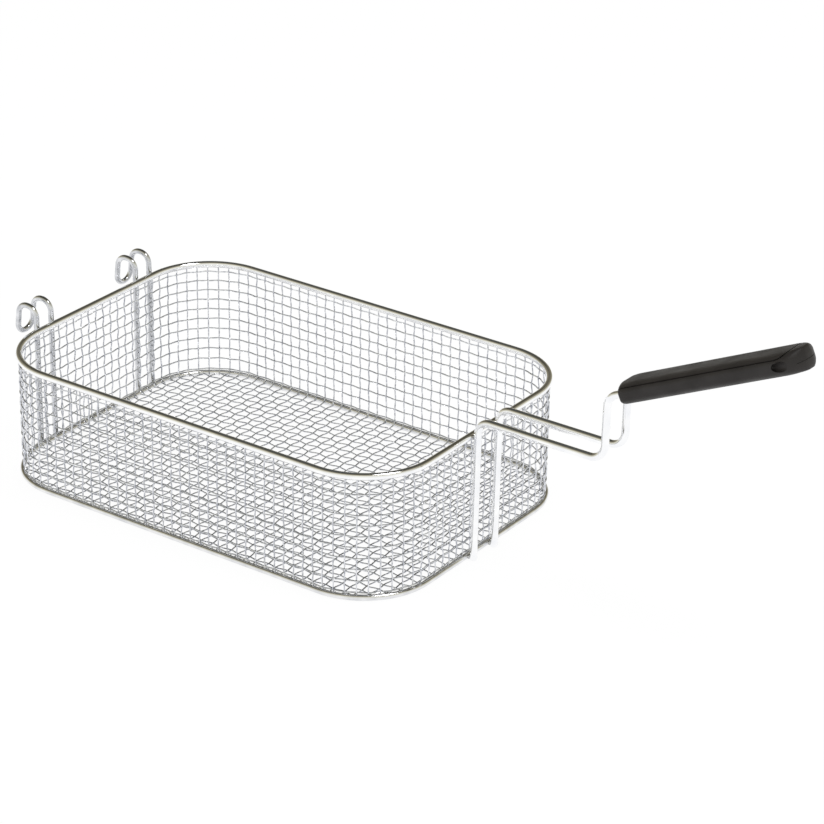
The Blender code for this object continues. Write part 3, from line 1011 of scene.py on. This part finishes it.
def studio_floor():
    """A plain white table that keeps the soft shadow."""
    deselect()
    bpy.ops.mesh.primitive_plane_add(size=TABLE_SIZE, location=(0, 0, 0))
    table = bpy.context.object
    table.name = "table"
    material, tree, shader = bare_material("white_table")
    shader.inputs["Base Color"].default_value = linear("#f4f4f4")
    shader.inputs["Roughness"].default_value = 0.9
    # What the eye and the wire see of the table is nearly plain white, with a little of its shadow left
    ray = add_node(tree, "ShaderNodeLightPath")
    seen = ray.outputs["Is Camera Ray"]
    for kind in ("Is Glossy Ray", "Is Transmission Ray"):
        pair = {0: seen, 1: ray.outputs[kind]}
        seen = add_node(tree, "ShaderNodeMath", {"operation": "MAXIMUM"}, pair).outputs[0]
    share = add_node(tree, "ShaderNodeMath", {"operation": "MULTIPLY"}, {0: seen, 1: TABLE_WHITE})
    white = add_node(tree, "ShaderNodeEmission", {}, {"Color": linear("#ffffff"), "Strength": 1.0})
    parts = {0: share.outputs[0], 1: shader.outputs["BSDF"], 2: white.outputs["Emission"]}
    mix = add_node(tree, "ShaderNodeMixShader", {}, parts)
    tree.links.new(mix.outputs["Shader"], tree.nodes["Material Output"].inputs["Surface"])
    table.data.materials.append(material)


def studio_light():
    """Plain white light from all sides. The wire mirrors white walls and a dark ceiling instead.

    The ceiling slopes down at the back. The ramp runs from the walls to the middle of the ceiling.
    """
    world = bpy.data.worlds.new("studio")
    bpy.context.scene.world = world
    world.use_nodes = True
    tree = world.node_tree
    tree.nodes.clear()
    direction = add_node(tree, "ShaderNodeTexCoord").outputs["Generated"]
    facing = {0: direction, 1: CEILING_FACES}
    ceiling = add_node(tree, "ShaderNodeVectorMath", {"operation": "DOT_PRODUCT"}, facing)
    ramp = add_node(tree, "ShaderNodeValToRGB", {}, {"Fac": ceiling.outputs["Value"]})
    cream = [(0, "#f4f4ee"), (0.20, "#dcdaca"), (0.46, "#c6c2b0")]
    grey = [(0.64, "#807964"), (0.80, "#736f62")]
    dark = [(0.89, "#484539"), (1, "#4c5154")]
    set_ramp(ramp, cream + grey + dark)
    walls = add_node(tree, "ShaderNodeBackground", {}, {"Color": ramp.outputs["Color"], "Strength": 1})
    plain = add_node(tree, "ShaderNodeBackground", {}, {"Color": linear("#ffffff"), "Strength": 1})
    ray = add_node(tree, "ShaderNodeLightPath")
    mirrored = ray.outputs["Is Glossy Ray"]
    kinds = {0: mirrored, 1: plain.outputs["Background"], 2: walls.outputs["Background"]}
    mix = add_node(tree, "ShaderNodeMixShader", {}, kinds)
    add_node(tree, "ShaderNodeOutputWorld", {}, {"Surface": mix.outputs["Shader"]})


def softbox(name, place, aim, size, power, in_gloss):
    """A square lamp behind white cloth, which the wire mirrors where in_gloss is true."""
    lamp = bpy.data.lights.new(name, "AREA")
    lamp.shape = "SQUARE"
    lamp.size = size
    lamp.energy = power
    holder = bpy.data.objects.new(name, lamp)
    bpy.context.scene.collection.objects.link(holder)
    holder.location = place
    holder.rotation_euler = (Vector(aim) - Vector(place)).to_track_quat("-Z", "Y").to_euler()
    holder.visible_camera = False
    holder.visible_glossy = in_gloss


# The camera that the picture was taken with, solved from the outlines of the two rings
VIEW_AZIMUTH = math.radians(35.0847)
VIEW_ELEVATION = math.radians(25.8494)
VIEW_ROLL = math.radians(0.9271)
VIEW_LENS = 136.59
VIEW_SENSOR = 36
VIEW_DISTANCE = 2.22149
VIEW_RIGHT = 0.091494
VIEW_UP = 0.046274


def camera():
    """Stands back from the middle of the base ring, shifted to its own right and up."""
    lens = bpy.data.cameras.new("camera")
    lens.lens = VIEW_LENS
    lens.sensor_width = VIEW_SENSOR
    lens.clip_start, lens.clip_end = 0.1, 100
    holder = bpy.data.objects.new("camera", lens)
    bpy.context.scene.collection.objects.link(holder)
    bpy.context.scene.camera = holder
    a, e = VIEW_AZIMUTH, VIEW_ELEVATION
    back = Vector((math.sin(a) * math.cos(e), -math.cos(a) * math.cos(e), math.sin(e)))
    level = Vector((math.cos(a), math.sin(a), 0))
    steep = back.cross(level)
    right = level * math.cos(VIEW_ROLL) + steep * math.sin(VIEW_ROLL)
    up = steep * math.cos(VIEW_ROLL) - level * math.sin(VIEW_ROLL)
    place = Vector((CENTRE_X, 0, BASE_Z)) + right * VIEW_RIGHT + up * VIEW_UP + back * VIEW_DISTANCE
    holder.matrix_world = Matrix.Translation(place) @ Matrix((right, up, back)).transposed().to_4x4()


studio_floor()
studio_light()
softbox("left_softbox", (-1.6, -1.8, 1.2), aim=(0, 0, 0.1), size=0.9, power=9, in_gloss=False)
softbox("right_softbox", (2.4, 0.6, 1.6), aim=(0.1, 0, 0.1), size=1.2, power=8, in_gloss=False)
# Edges that face up and forwards mirror this one
softbox("overhead_softbox", (0.55, 0.08, 1.67), aim=(0.25, 0, 0.2), size=0.5, power=7, in_gloss=True)
camera()
bpy.context.scene.view_settings.view_transform = "Standard"
